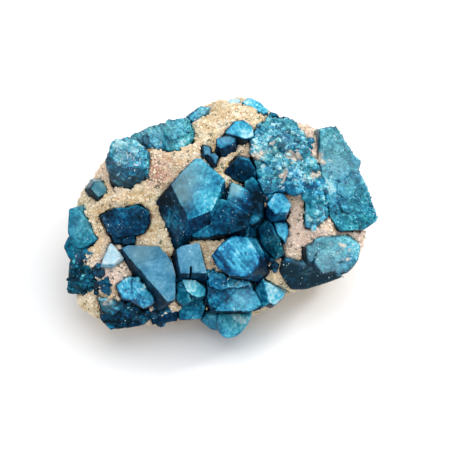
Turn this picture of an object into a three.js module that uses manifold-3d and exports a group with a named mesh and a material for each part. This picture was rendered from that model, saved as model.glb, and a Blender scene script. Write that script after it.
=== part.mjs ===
// A dioptase cluster: a lump of pale, sugary vein rock carrying blue-green
// dioptase crystals. The crystals sit in sockets in the rock, or grow into one
// another. Each crystal, or each group grown together, is one closed solid.
//
// The crystals are set out on the display face, the side of the lump that is
// shown: u runs across it, v up it and w out of it, with 0, 0, 0 at the middle
// of the lump's waist. At the end the whole lump is turned so that it rests on
// its sawn base, +Z up, with the display face leaning back.

import * as THREE from 'three';
import { ConvexGeometry } from 'three/addons/geometries/ConvexGeometry.js';
import { ImprovedNoise } from 'three/addons/math/ImprovedNoise.js';
import { mergeVertices } from 'three/addons/utils/BufferGeometryUtils.js';
import Module from 'manifold-3d';

// ---------------------------------------------------------------- dimensions
// All lengths are in mm.
const DISPLAY_LEAN = THREE.MathUtils.degToRad(35); // display face above lying flat
const WAIST_HEIGHT = 13; // middle of the waist above the base
const ROCK_FRONT = 10.5; // rock in front of the waist, along w
const ROCK_BACK = 20; // rock behind the waist, before the base is cut
const ROCK_FULLNESS = 3; // side profile: 2 is an ellipse, larger is boxier
const ROCK_DETAIL = 5; // subdivisions of the ball that the rock starts from
const ROUGH_SIZE = 7.5; // width of the rock's lumps
const ROUGH_HEIGHT = 2; // height of the rock's lumps
const FINE_LUMPS = 2.3; // how much smaller the lumps on those lumps are
const FRONT_ROUGHNESS = 0.35; // share of the lumps' height on the display face
const BREAK_FLATNESS = 0.85; // broken faces of the back: 1 is quite flat
const SOCKET_GAP = 0.3; // clearance between a crystal and what is round it
const FOOT_CLEARANCE = 0.4; // lowest crystal above the base
const RHOMB_ANGLE = THREE.MathUtils.degToRad(50); // termination faces to the axis
const FAR = 80; // well outside the lump

// Outline of the bare rock round its waist: angle in degrees from u, radius.
const ROCK_OUTLINE = [
  [0, 25.5], [15, 24.2], [30, 23.6], [45, 22.6], [60, 20.2], [75, 21.2],
  [90, 21], [105, 18.4], [120, 18.2], [135, 19.6], [150, 22], [165, 23.8],
  [180, 26.4], [195, 27.2], [210, 30], [217, 29.4], [225, 26.6], [235, 22.6],
  [245, 19.8], [255, 17.8], [270, 18.5], [290, 17.6], [310, 17.4], [320, 18.6],
  [330, 21.5], [340, 24.4], [350, 26], [360, 25.5],
];

// Rises and hollows of the display face: u, v, reach, height.
const ROCK_RELIEF = [
  [3, 4, 13, 2.4], [20, 6, 9, 1.8], [8.5, -5.5, 5, -3.4], [20, -2.5, 3.5, -1.6],
  [13, -2, 5, -1.2], [19, -7, 6, 1.2], [-15, 11, 7, 1.8], [-20, -14, 6, 1],
  [-17, -8, 4, -1], [-8, 2, 5, -0.8],
];

// Broken faces that flatten the back: outward direction (u, v, w) and distance
// from the middle of the waist.
const ROCK_BREAKS = [
  [-0.6, 0.25, -0.75, 19.5], [0.65, 0.1, -0.75, 19.5], [0.1, 0.6, -0.8, 18.2],
  [-0.35, 0.75, -0.55, 18.2], [0.5, 0.7, -0.5, 18.6], [0.85, -0.1, -0.5, 22.5],
  [-0.85, -0.1, -0.5, 22.5],
];

const wasm = await Module();
wasm.setup();

// ------------------------------------------------------------ solids and cuts
function toSolid(geometry) {
  const bare = geometry.clone();
  bare.deleteAttribute('normal');
  bare.deleteAttribute('uv');
  const merged = mergeVertices(bare, 1e-5);
  return new wasm.Manifold(new wasm.Mesh({
    numProp: 3,
    vertProperties: new Float32Array(merged.attributes.position.array),
    triVerts: new Uint32Array(merged.index.array),
  }));
}

function toGeometry(solid) {
  const mesh = solid.getMesh();
  const geometry = new THREE.BufferGeometry();
  geometry.setAttribute('position', new THREE.BufferAttribute(
    new Float32Array(mesh.vertProperties), 3));
  geometry.setIndex(new THREE.BufferAttribute(new Uint32Array(mesh.triVerts), 1));
  return geometry;
}

const joinAll = (solids) => solids.reduce((sum, solid) => sum.add(solid));

function largestBody(solid) {
  return solid.decompose().reduce((a, b) => (b.volume() > a.volume() ? b : a));
}

// The convex solid inside a set of planes { n, d }, where n . p <= d is inside.
// Growing it moves every plane out.
function planeSolid(planes, grow = 0) {
  const corners = [];
  for (let i = 0; i < planes.length; i++) {
    for (let j = i + 1; j < planes.length; j++) {
      const jk = new THREE.Vector3().crossVectors(planes[i].n, planes[j].n);
      for (let k = j + 1; k < planes.length; k++) {
        const size = jk.dot(planes[k].n);
        if (Math.abs(size) < 1e-4) continue;
        const [a, b, c] = [planes[i], planes[j], planes[k]];
        const corner = new THREE.Vector3()
          .addScaledVector(new THREE.Vector3().crossVectors(b.n, c.n), a.d + grow)
          .addScaledVector(new THREE.Vector3().crossVectors(c.n, a.n), b.d + grow)
          .addScaledVector(jk, c.d + grow)
          .divideScalar(size);
        const inside = planes.every((p) => p.n.dot(corner) <= p.d + grow + 1e-4);
        if (inside && !corners.some((p) => p.distanceTo(corner) < 1e-3)) {
          corners.push(corner);
        }
      }
    }
  }
  return toSolid(new ConvexGeometry(corners));
}

// --------------------------------------------------------------------- the rock
const toWorld = new THREE.Matrix4().makeRotationX(DISPLAY_LEAN)
  .premultiply(new THREE.Matrix4().makeTranslation(0, 0, WAIST_HEIGHT));
const toDisplay = toWorld.clone().invert();

function blockBelow(level) {
  const block = new THREE.BoxGeometry(2 * FAR, 2 * FAR, 2 * FAR);
  block.translate(0, 0, level - FAR);
  return toSolid(block.applyMatrix4(toDisplay));
}

function outlineRadius(degrees) {
  const next = ROCK_OUTLINE.findIndex(([angle]) => angle > degrees);
  const [a0, r0] = ROCK_OUTLINE[next - 1];
  const [a1, r1] = ROCK_OUTLINE[next];
  return r0 + (r1 - r0) * THREE.MathUtils.smoothstep(degrees, a0, a1);
}

function makeRock() {
  const ball = mergeVertices(new THREE.IcosahedronGeometry(1, ROCK_DETAIL)
    .deleteAttribute('normal').deleteAttribute('uv'), 1e-5);
  const at = ball.attributes.position;
  const noise = new ImprovedNoise();
  const power = 2 / ROCK_FULLNESS;
  for (let i = 0; i < at.count; i++) {
    const way = new THREE.Vector3().fromBufferAttribute(at, i).normalize();
    const flat = Math.hypot(way.x, way.y);
    const angle = (THREE.MathUtils.radToDeg(Math.atan2(way.y, way.x)) + 360) % 360;
    const radius = outlineRadius(angle) * flat ** power / Math.max(flat, 1e-6);
    const depth = way.z > 0 ? ROCK_FRONT : -ROCK_BACK;
    const p = new THREE.Vector3(way.x * radius, way.y * radius,
      depth * Math.abs(way.z) ** power);
    if (way.z > 0) {
      for (const [u, v, reach, height] of ROCK_RELIEF) {
        const away = Math.hypot(p.x - u, p.y - v) / reach;
        p.z += height * Math.exp(-away * away) * Math.min(1, way.z * 2);
      }
    }
    for (const [u, v, w, distance] of ROCK_BREAKS) {
      const n = new THREE.Vector3(u, v, w).normalize();
      p.addScaledVector(n, -BREAK_FLATNESS * Math.max(0, n.dot(p) - distance));
    }
    const q = p.clone().divideScalar(ROUGH_SIZE);
    const fine = q.clone().multiplyScalar(FINE_LUMPS);
    const lumps = noise.noise(q.x, q.y, q.z) + noise.noise(fine.x, fine.y, fine.z) / 2;
    const share = way.z > -0.1 ? FRONT_ROUGHNESS : 1;
    p.addScaledVector(way, ROUGH_HEIGHT * lumps * share);
    at.setXYZ(i, p.x, p.y, p.z);
  }
  return toSolid(ball).subtract(blockBelow(0));
}

const rockWhole = makeRock();
const rockShell = new THREE.Mesh(toGeometry(rockWhole),
  new THREE.MeshBasicMaterial({ side: THREE.DoubleSide }));

// Where a straight line first meets the rock: the point and the surface's
// outward direction.
function meetRock(from, way) {
  const hit = new THREE.Raycaster(from, way.clone().normalize())
    .intersectObject(rockShell)[0];
  return hit && { point: hit.point, out: hit.face.normal.clone() };
}

// The same, straight down on the display face; past the rock's edge, the waist.
const rockUnder = (u, v) =>
  meetRock(new THREE.Vector3(u, v, FAR), new THREE.Vector3(0, 0, -1))
  ?? { point: new THREE.Vector3(u, v, 0), out: new THREE.Vector3(u, v, 0).normalize() };

// The rock's slope on the display face, evened out over a small ring.
function rockTilt(u, v) {
  const ring = 1.6;
  const level = (du, dv) => rockUnder(u + du, v + dv).point.z;
  return [(level(ring, 0) - level(-ring, 0)) / (2 * ring),
    (level(0, ring) - level(0, -ring)) / (2 * ring)];
}

// ------------------------------------------------------------------- crystals
// A blocky crystal on the display face. face: corners of its top flat, [u, v];
// rise: middle of the flat above the rock there, or height: its w; tilt: how w
// changes across u and up v, which is the rock's own slope if it isn't given;
// lean and flare: how far each side runs sideways, and outward, per mm down;
// depth: length below the flat. facets: further flats, each starting at the
// line from one point to the next on the top flat and falling drop mm per mm
// on the right-hand side of that line.
function block({ face, rise, height, tilt, lean = [0, 0], flare = 0.1,
  depth = 6, facets = [] }) {
  const middle = face.reduce((m, [u, v]) => [m[0] + u / face.length,
    m[1] + v / face.length], [0, 0]);
  const level = height ?? rockUnder(...middle).point.z + rise;
  tilt ??= rockTilt(...middle);
  const onFlat = ([u, v]) => new THREE.Vector3(u, v,
    level + tilt[0] * (u - middle[0]) + tilt[1] * (v - middle[1]));
  const inner = new THREE.Vector3(middle[0] + lean[0] * depth / 2,
    middle[1] + lean[1] * depth / 2, level - depth / 2);
  const plane = (normal, point) => {
    const n = normal.normalize();
    if (n.dot(inner) > n.dot(point)) n.negate();
    return { n, d: n.dot(point) };
  };
  const top = new THREE.Vector3(-tilt[0], -tilt[1], 1);
  const planes = [plane(top, onFlat(middle)),
    plane(new THREE.Vector3(0, 0, -1), new THREE.Vector3(0, 0, level - depth))];
  face.forEach((corner, i) => {
    const a = onFlat(corner);
    const b = onFlat(face[(i + 1) % face.length]);
    const out = new THREE.Vector2(b.y - a.y, a.x - b.x).normalize();
    if (out.dot(new THREE.Vector2(middle[0] - a.x, middle[1] - a.y)) > 0) out.negate();
    const down = new THREE.Vector3(lean[0] + flare * out.x, lean[1] + flare * out.y, -1);
    planes.push(plane(new THREE.Vector3().crossVectors(b.clone().sub(a), down), a));
  });
  for (const [from, to, drop] of facets) {
    const a = onFlat(from);
    const b = onFlat(to);
    const right = new THREE.Vector2(b.y - a.y, a.x - b.x).normalize();
    const down = new THREE.Vector3(right.x, right.y,
      tilt[0] * right.x + tilt[1] * right.y - drop);
    const n = new THREE.Vector3().crossVectors(b.clone().sub(a), down).normalize();
    if (n.z < 0) n.negate();
    planes.push({ n, d: n.dot(a) });
  }
  return planes;
}

// A small crystal of the natural habit: a six-sided prism ended by three
// rhombohedron faces, or broken off flat. foot: where its axis leaves the rock;
// axis: its way up; width across flats, length above the foot, root below it,
// turn in degrees; flat: direction of the broken end, if it has one.
function prism({ foot, axis, width, length, root = 1, turn = 0, flat = null }) {
  const up = axis.clone().normalize();
  const side = new THREE.Vector3(up.y, up.z, -up.x).cross(up).normalize();
  const planes = [{ n: up.clone().negate(), d: root - up.dot(foot) }];
  for (let i = 0; i < 6; i++) {
    const n = side.clone().applyAxisAngle(up,
      THREE.MathUtils.degToRad(turn + 60 * i));
    planes.push({ n, d: n.dot(foot) + width / 2 });
    if (i % 2 === 0 && !flat) {
      const end = n.clone().multiplyScalar(Math.sin(RHOMB_ANGLE))
        .addScaledVector(up, Math.cos(RHOMB_ANGLE));
      planes.push({ n: end, d: end.dot(foot.clone().addScaledVector(up, length)) });
    }
  }
  if (flat) {
    const tip = foot.clone().addScaledVector(up, length);
    const n = flat.clone().normalize();
    planes.push({ n, d: n.dot(tip) });
  }
  return planes;
}

// Repeatable pseudo-random numbers from 0 to 1.
function seeded(seed) {
  let state = seed;
  return () => {
    state = (state * 1664525 + 1013904223) % 4294967296;
    return state / 4294967296;
  };
}

// Where the line straight down at u, v meets the top of a block.
function topOf(planes, u, v) {
  let top = null;
  let bottom = -Infinity;
  for (const { n, d } of planes) {
    const w = (d - n.x * u - n.y * v) / n.z;
    if (n.z < 0) bottom = Math.max(bottom, w);
    else if (!top || w < top.point.z) top = { point: new THREE.Vector3(u, v, w), out: n };
  }
  return top && top.point.z > bottom ? top : null;
}

// A crust of small crystals crowded over the blocks of a patch, which they
// grow out of. outline: the patch, [u, v]; spacing between the crystals; the
// ranges of their widths and of their heights above the blocks; broken: true
// for low steps with flat ends, false for whole crystals.
function crust(blocks, { outline, spacing, widths, heights, seed, broken = true }) {
  const random = seeded(seed);
  const between = ([low, high]) => low + (high - low) * random();
  const [us, vs] = [outline.map(([u]) => u), outline.map(([, v]) => v)];
  const forms = [...blocks];
  for (let v = Math.min(...vs); v <= Math.max(...vs); v += spacing) {
    for (let u = Math.min(...us); u <= Math.max(...us); u += spacing) {
      const at = [u + (random() - 0.5) * spacing, v + (random() - 0.5) * spacing];
      const [width, length] = [between(widths), between(heights)];
      const lean = new THREE.Vector3(random() - 0.5, random() - 0.5, 0.3);
      const end = new THREE.Vector3(random() - 0.5, random() - 0.5, 1.4);
      const turn = random() * 60;
      const tops = blocks.map((form) => topOf(form, ...at)).filter(Boolean)
        .sort((a, b) => b.point.z - a.point.z);
      if (!tops.length || !within(outline, ...at)) continue;
      const { point, out } = tops[0];
      forms.push(broken
        ? prism({ foot: point, axis: out, width, length, turn, root: 0.6,
          flat: end.add(out) })
        : prism({ foot: point, axis: lean.add(out), width, length, turn, root: 0.6 }));
    }
  }
  return forms;
}

// True inside the outline of a patch, [u, v] corners in order.
function within(outline, u, v) {
  let inside = false;
  outline.forEach(([u0, v0], i) => {
    const [u1, v1] = outline[(i + 1) % outline.length];
    if (v0 > v !== v1 > v && u < u0 + (u1 - u0) * (v - v0) / (v1 - v0)) inside = !inside;
  });
  return inside;
}

// Crystals on the sides and back, standing out from the rock. bearing: degrees
// round the upright axis, 0 to the right and 90 to the back; level: mm above
// the base. Each crystal is [along, upward, width, length, sideways lean,
// upward lean, turn], measured from where the group is rooted.
function sideGroup(bearing, level, crystals) {
  const angle = THREE.MathUtils.degToRad(bearing);
  const out = new THREE.Vector3(Math.cos(angle), Math.sin(angle), 0);
  const along = new THREE.Vector3(-Math.sin(angle), Math.cos(angle), 0);
  return crystals.map(([shift, raise, width, length, sideways, upward, turn]) => {
    const from = out.clone().multiplyScalar(FAR).addScaledVector(along, shift);
    from.z = level + raise;
    from.applyMatrix4(toDisplay);
    const way = out.clone().negate().transformDirection(toDisplay);
    const { point } = meetRock(from, way);
    const axis = out.clone().addScaledVector(along, sideways);
    axis.z = upward;
    axis.transformDirection(toDisplay);
    return prism({ foot: point, axis, width, length, turn, root: 2.5 });
  });
}

// ----------------------------------------------------------------- the pieces
const LOOKS = {
  rock: { color: 0xd2b58c, roughness: 0.95 },
  deep: { color: 0x0f3548, roughness: 0.15 },
  teal: { color: 0x2f7f8f, roughness: 0.25 },
  cyan: { color: 0x4fb9d6, roughness: 0.18 },
  slate: { color: 0x6fa6c0, roughness: 0.12 },
  pale: { color: 0xb9dbe8, roughness: 0.3 },
  druse: { color: 0x559ba5, roughness: 0.45 },
};

// Crystals in order of standing: each is cut clear of those listed before it,
// and the rock is cut clear of them all.
const crystals = [];
const grow = (name, look, forms, notches = []) =>
  crystals.push({ name, look, forms, notches });

// The largest crystal, leaning over to the upper right, with a smaller one
// grown into its right-hand side, a low dark one in front and another behind
// the smaller one's right.
grow('center_block', 'teal', [
  block({ face: [[-8.2, 6.1], [-4.4, 10.2], [-3.2, 10.3], [0.9, 6.6], [0, 4.4],
    [-1.4, 1.8], [-5, 0.8]], rise: 5.4, tilt: [-0.05, -0.3], lean: [-0.2, -0.52],
  flare: 0.2, depth: 12, facets: [[[-2.6, 6.2], [0.8, 4.4], 0.25]] }),
  block({ face: [[1.3, 3.4], [1.9, 6.1], [4.8, 5.2], [5.4, 3], [4.3, 0.7], [2.6, 1.2]],
    rise: 4, tilt: [0.1, -0.25], lean: [-0.05, -0.5], flare: 0.22, depth: 10,
    facets: [[[3.1, 6.2], [2.9, 3.9], -0.5], [[1.3, 3.5], [3, 3.8], 0.6]] }),
  block({ face: [[-5, -1.6], [-3.4, 0.8], [-0.8, 3.6], [1.8, 2.8], [5, 0.6], [4.6, -1.7],
    [2.2, -2.5], [-1.6, -3.3], [-4.8, -3.4]], rise: 2.3, tilt: [0.05, 0.45],
  lean: [0, -0.25], flare: 0.08, depth: 7 }),
  block({ face: [[4.4, 6.3], [5.7, 7.2], [6.6, 6], [7.4, 4.2], [7.7, 2.2], [7.3, 0.2],
    [6, -1.2], [4.4, -1.2], [4, 1]], rise: 1.8, tilt: [-0.3, 0.2], lean: [0, -0.2],
  flare: 0.08, depth: 6 }),
]);

// A wedge that faces down into the gap behind the center block.
grow('dark_wedge', 'deep', [
  block({ face: [[0.8, 8.1], [2.4, 9.6], [3.3, 10.5], [5, 10.1], [5.9, 8.7], [6.2, 7],
    [4.6, 6.1], [2.4, 6.8]], rise: 1.5, tilt: [0.35, 0.45], depth: 6,
  facets: [[[4.4, 10.6], [4.6, 5.8], -0.4]] }),
]);

grow('upper_block', 'cyan', [
  block({ face: [[0.8, 14.8], [2.6, 16.9], [4.2, 17.3], [5.8, 16.2], [5.9, 14.6],
    [4.4, 13.9]], rise: 2.8, tilt: [-0.05, -0.42], lean: [-0.15, -0.35], depth: 7,
  facets: [[[2.4, 17], [3.4, 13.9], -0.35]] }),
  block({ face: [[-0.6, 13.9], [1.5, 14.6], [2.7, 14], [2.6, 13.2], [0.2, 12.2],
    [-0.6, 12.6]], rise: 2.2, tilt: [-0.1, -0.2], lean: [0.1, -0.75], flare: 0.08,
  depth: 6 }),
]);

grow('upper_small', 'slate', [
  block({ face: [[-1.8, 11], [-0.9, 11.3], [-0.2, 10.6], [-0.8, 9.3]], rise: 1.4,
    tilt: [0.15, -0.3], lean: [-0.2, -0.2], depth: 4 }),
  block({ face: [[-2.9, 12.4], [-1.8, 12.3], [-1.6, 11], [-2.8, 10.8]], rise: 1,
    tilt: [-0.2, -0.3], depth: 4 }),
]);

// Thick rough crystal whose ribbed underside faces down the lump.
grow('upper_left_stub', 'teal', crust([
  block({ face: [[-20.5, 11], [-19.2, 13.5], [-15.4, 14.6], [-13.2, 13.1], [-12.9, 9.6],
    [-16.6, 8.2], [-19.8, 9]], height: 12, tilt: [0.12, -0.3], lean: [0.3, -0.95],
  flare: 0.04, depth: 8, facets: [[[-18.2, 14.4], [-18, 8], 0.4],
    [[-15, 8], [-15.2, 14.4], 0.25]] }),
], { outline: [[-19, 11.2], [-18, 12.8], [-15.4, 13.4], [-14, 12], [-14, 10], [-16.6, 9],
  [-18.6, 9.8]], spacing: 2.3, widths: [1.8, 3], heights: [0.3, 0.9], seed: 3 }));

// Broad sparkling plate along the top left edge, made of many low steps.
grow('upper_left_ledge', 'druse', crust([
  block({ face: [[-16.2, 14.6], [-12.8, 16.1], [-9.2, 17.1], [-8.4, 14.5], [-8.8, 12],
    [-13, 12.3]], height: 8.6, tilt: [0.1, -0.35], lean: [0.2, -0.5], flare: 0.05,
  depth: 6 }),
  block({ face: [[-9.8, 17], [-5.7, 18], [-4.4, 15], [-5.2, 13.4], [-7.5, 11.7],
    [-9.7, 12]], height: 9.4, tilt: [0.02, -0.4], lean: [0.1, -0.5], flare: 0.05,
  depth: 6, facets: [[[-6.6, 18], [-5.2, 13.2], -0.6]] }),
], { outline: [[-14.2, 14], [-12.4, 15.2], [-8.9, 16.2], [-6.4, 16.8], [-5.8, 14.6],
  [-7, 13], [-8.6, 12.8], [-12.4, 13]], spacing: 2.6, widths: [2, 3.4],
heights: [0.3, 1], seed: 11 }));

grow('top_sliver', 'teal', [
  block({ face: [[-6.1, 17.9], [-3.9, 19.8], [-1.5, 19.8], [-2.2, 18.6], [-4.8, 17.2]],
    height: 5, tilt: [-0.1, -0.5], lean: [0.1, -0.5], depth: 6 }),
]);

grow('left_cube', 'slate', [
  block({ face: [[-22.8, 5.2], [-22.2, 6.3], [-20.9, 6.4], [-20, 5.2], [-20.2, 4.3],
    [-21.5, 3.7]], rise: 1.7, tilt: [-0.1, -0.2], lean: [-0.1, -0.05], flare: 0.2,
  depth: 4 }),
]);

grow('left_dark', 'deep', [
  block({ face: [[-20.8, 0.2], [-18.4, 1.6], [-14.6, 2.2], [-12.6, 1.2], [-12.5, -0.8],
    [-13.4, -2.7], [-17.2, -3.4], [-19.4, -2.8]], rise: 2.1, tilt: [0.15, 0.12],
  flare: 0.08, depth: 6, facets: [[[-16.6, 2.4], [-17.4, -3.4], 0.45],
    [[-12.4, 0.6], [-20.6, 0], 0.4], [[-13.9, -3.4], [-13.4, 2.4], 0.4]] }),
  block({ face: [[-19, -3.1], [-17.4, -3.2], [-17.2, -4.6], [-18.6, -4.4]], rise: 0.9,
    tilt: [0.1, -0.2], depth: 4 }),
  block({ face: [[-17.2, -3], [-15, -3], [-15, -4.5], [-17, -4.7]], rise: 1.1,
    tilt: [-0.1, -0.3], depth: 4 }),
]);

grow('left_edge', 'teal', [
  block({ face: [[-26.7, 1.5], [-25.2, 1.8], [-21.9, -3.8], [-24.2, -5.4], [-25.8, -5.2],
    [-27, -2.6]], height: 7.4, tilt: [0.4, 0.05], lean: [0.3, 0], depth: 8 }),
  block({ face: [[-27, -3.4], [-24.6, -4.9], [-23.2, -7], [-24.6, -8.2], [-26.8, -7.3],
    [-27.8, -5.2]], height: 5.4, tilt: [0.35, 0.2], lean: [0.3, 0.05], depth: 6 }),
]);

grow('pale_wedge', 'pale', [
  block({ face: [[-19.3, -4.3], [-18.6, -4.9], [-16.9, -6.9], [-18.6, -8.2], [-20.8, -8.1],
    [-20.1, -6.4]], rise: 2.1, tilt: [0.2, -0.4], lean: [-0.05, -0.25], flare: 0.05,
  depth: 6, facets: [[[-18.4, -4], [-18.8, -8.5], -0.35]] }),
]);

// Long plate with two flats that meet at a low ridge.
grow('large_plate', 'slate', [
  block({ face: [[-16.8, -5.2], [-14.9, -8.1], [-9, -14.7], [-7.8, -14.3], [-7.7, -10],
    [-8.4, -7.6], [-10.4, -4.9], [-15.5, -4.6]], rise: 3.2, tilt: [-0.08, -0.24],
  lean: [-0.28, -0.2], flare: 0.04, depth: 8, facets: [[[-9, -6.4], [-15.1, -7.9], 0.4]] }),
]);

// Nearly square plate with a slot broken out of its lower edge.
grow('square_plate', 'slate', [
  block({ face: [[-7.6, -5.6], [-6.6, -4.9], [-3.6, -4.4], [-2.3, -9.6], [-6.9, -9.7]],
    rise: 3.1, tilt: [-0.06, -0.22], lean: [-0.08, -0.28], flare: 0.08, depth: 7 }),
], [
  block({ face: [[-5.15, -8], [-4.7, -8], [-4.7, -13], [-5.3, -13]], rise: 6,
    tilt: [0, 0], lean: [-0.08, -0.28], flare: 0, depth: 7.4 }),
]);

grow('lower_center', 'cyan', [
  block({ face: [[-1.6, -6.6], [0.7, -4.1], [2.8, -3.1], [4.9, -3.4], [6.9, -6.8],
    [6.3, -9], [4.4, -10.4], [1.4, -10], [-0.6, -8.7]], rise: 4.2, tilt: [-0.12, -0.3],
  lean: [0.3, -0.06], flare: 0.06, depth: 9, facets: [[[-0.3, -5.6], [3.4, -10.6], 0.45],
    [[0, -4], [5.4, -3.4], -0.3]] }),
]);

grow('lower_cluster', 'teal', [
  block({ face: [[-2.1, -9.9], [-1.2, -9.3], [0.8, -9.9], [1.6, -12], [0.2, -12.8],
    [-1.9, -12]], rise: 1.7, tilt: [0.1, -0.2], depth: 5 }),
  block({ face: [[1, -10.4], [2, -10.4], [2.7, -12.2], [1.4, -12.2]], rise: 2.4,
    tilt: [-0.4, -0.4], depth: 4 }),
  block({ face: [[2, -10.4], [5, -10.3], [5.2, -11.8], [2.6, -12.4]], rise: 1.7,
    tilt: [0.1, -0.1], depth: 4 }),
  block({ face: [[-1, -16.4], [0.9, -14.2], [2.8, -12.6], [5, -12.4], [6.3, -13.2],
    [7.3, -15.4], [5.6, -16.4]], rise: 2.8, tilt: [-0.05, -0.25], lean: [-0.1, 0],
  flare: 0.05, depth: 7 }),
  block({ face: [[-2.3, -14.6], [-0.8, -12.7], [1.6, -12.1], [2.6, -12.6], [0, -15.7],
    [-1.5, -15.8]], rise: 2, tilt: [0.25, -0.1], depth: 6 }),
  block({ face: [[-2.2, -10.6], [4.8, -10.4], [5.4, -12.4], [5.8, -15], [0, -16],
    [-2.3, -14.8]], rise: 0.8, depth: 5 }),
]);

grow('lower_wedge', 'teal', [
  block({ face: [[-6.8, -10.3], [-4.6, -10.7], [-2.6, -12.4], [-2.8, -13.7], [-4.2, -14],
    [-5.8, -12.8]], rise: 3, tilt: [-0.3, -0.3], depth: 6 }),
  block({ face: [[-7.4, -10.5], [-6.6, -10.9], [-5, -14.6], [-6.6, -15.4], [-7.6, -14.4]],
    rise: 2.4, tilt: [0.55, 0.1], depth: 6 }),
  block({ face: [[-7.3, -14.8], [-3, -14], [-2.6, -15.5], [-3.4, -17.9], [-7.2, -18.1]],
    rise: 1.2, tilt: [0, 0.25], lean: [0, 0.15], depth: 6 }),
]);

// Rounded crystal that juts out below the rest, with a dark one beside it.
grow('bottom_knob', 'teal', [
  block({ face: [[-0.2, -17], [1.2, -15.4], [4, -15], [5.6, -16.2], [5.7, -17.8],
    [4.8, -19.6], [3.5, -20.9], [1.8, -21.7], [0.5, -21.4], [-0.3, -20.3], [-0.6, -18.6]],
  height: 6.4, tilt: [-0.05, -0.2], lean: [0, 0.2], flare: 0, depth: 6.5,
  facets: [[[0.4, -16], [1.2, -20.4], -0.4], [[0.2, -19.2], [4.6, -18.4], 0.35],
    [[0.6, -20.4], [4, -19.8], 0.9], [[4, -20.6], [4.3, -16], 0.45]] }),
  block({ face: [[-4.2, -17.8], [-2.2, -16.4], [-0.2, -16.6], [-0.2, -20.2],
    [-1.6, -20]], height: 4, tilt: [0.1, 0.3], lean: [0.05, 0.3], depth: 5 }),
]);

grow('lower_right_wedge', 'cyan', [
  block({ face: [[7.7, -10.7], [9, -11.7], [12, -12.6], [11, -14.2], [9.6, -15.4],
    [8.5, -15]], rise: 2.5, tilt: [-0.4, -0.25], lean: [-0.1, 0.1], flare: 0.18,
  depth: 7 }),
  block({ face: [[6.1, -13.2], [7.7, -10.7], [8.3, -12.4], [8.9, -15], [7.2, -16]],
    rise: 1.9, tilt: [0.6, 0], lean: [-0.1, 0.1], flare: 0.15, depth: 7 }),
]);

// Large dark step with a smaller block above it.
grow('dark_step', 'deep', [
  block({ face: [[6.8, -1.8], [7.9, -0.3], [8.8, -0.8], [10.6, -4.5], [11.1, -6.4],
    [9.8, -7.1], [7.2, -4.6]], rise: 1.7, tilt: [0.5, 0], depth: 6 }),
]);

grow('right_small', 'cyan', [
  block({ face: [[9.6, -1], [11.6, -1], [12, -2.6], [11.4, -4.3], [10, -2.6]], rise: 1.4,
    tilt: [-0.1, -0.2], depth: 5 }),
]);

grow('right_blue', 'cyan', [
  block({ face: [[8.3, 2.4], [9.6, 4.3], [11.2, 4.3], [12.6, 2.6], [11.8, 1.1],
    [9.6, 0.7]], rise: 2.3, tilt: [0.05, -0.25], lean: [-0.15, -0.35], flare: 0.05,
  depth: 6, facets: [[[10.4, 4.5], [10.9, 0.6], -0.35]] }),
]);

grow('lower_left_block', 'cyan', [
  block({ face: [[-18.1, -12], [-16.4, -10.6], [-14.8, -10.5], [-14.6, -14.4],
    [-17, -14.2]], rise: 2.1, tilt: [0.2, -0.3], depth: 6 }),
  block({ face: [[-15.4, -10.7], [-13.6, -10.4], [-11.5, -13], [-11.2, -14.6],
    [-13.4, -15.7], [-15.2, -14.6]], rise: 2.5, tilt: [-0.25, -0.2], depth: 6,
  facets: [[[-15, -13.4], [-11.6, -12.6], 0.4]] }),
]);

grow('lower_left_ledge', 'teal', [
  block({ face: [[-21.2, -17.7], [-18.4, -15.6], [-16.2, -14.8], [-13.4, -15.7],
    [-12.5, -17], [-13.4, -18.9], [-19.4, -19.8]], rise: 1.2, tilt: [0.05, 0.3],
  lean: [0.1, 0.25], depth: 6 }),
  block({ face: [[-21.4, -14.2], [-18.4, -14.7], [-17.5, -15.8], [-18.6, -17.2],
    [-20.6, -17]], rise: 1.4, tilt: [0.1, 0], depth: 5 }),
]);

grow('bottom_dark', 'deep', [
  block({ face: [[-12.3, -17.7], [-10.2, -16.2], [-7.4, -16], [-7.3, -18.2],
    [-12, -19]], rise: 1, tilt: [0, 0.3], lean: [0, 0.25], depth: 5 }),
]);

grow('corner_druse', 'deep', crust([
  block({ face: [[-26.8, -7.9], [-23.4, -8.6], [-19.4, -11.4], [-19, -12.3],
    [-24, -13.4], [-27.1, -13.4]], height: 7, tilt: [0.4, 0.1], lean: [0.3, 0.1],
  flare: 0.05, depth: 7 }),
], { outline: [[-25.8, -8.8], [-24, -9.4], [-22.4, -10.6], [-20.4, -12], [-23, -12.4],
  [-25.6, -12.6]], spacing: 1.9, widths: [1.6, 2.8], heights: [0.5, 1.5], seed: 23 }));

// Block with a crusted top and a dark face that drops to the lump's lower edge.
grow('right_block', 'druse', crust([
  block({ face: [[15, -5.4], [18.5, -3.5], [22.8, -3.4], [24.9, -5], [24.4, -7.6],
    [22.4, -9.8], [18.2, -9.6], [15.2, -7.6]], rise: 1.9, tilt: [-0.25, -0.1],
  lean: [-0.15, 0.08], flare: 0.05, depth: 6 }),
  block({ face: [[11.2, -7.2], [15.4, -7.1], [19.4, -9.2], [22.6, -10], [19, -11.5],
    [15.4, -12.6], [12.6, -12.8], [10.4, -9.4]], rise: 1.9, tilt: [0.15, 0.45],
  lean: [-0.05, 0.2], flare: 0.02, depth: 6 }),
], { outline: [[16, -5.6], [18.5, -4.4], [22.4, -4.1], [24, -5.6], [22.8, -8.6],
  [18.8, -8.8], [16.6, -7.6]], spacing: 2.9, widths: [2.4, 4.2], heights: [0.3, 0.9],
seed: 31 }));

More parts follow.
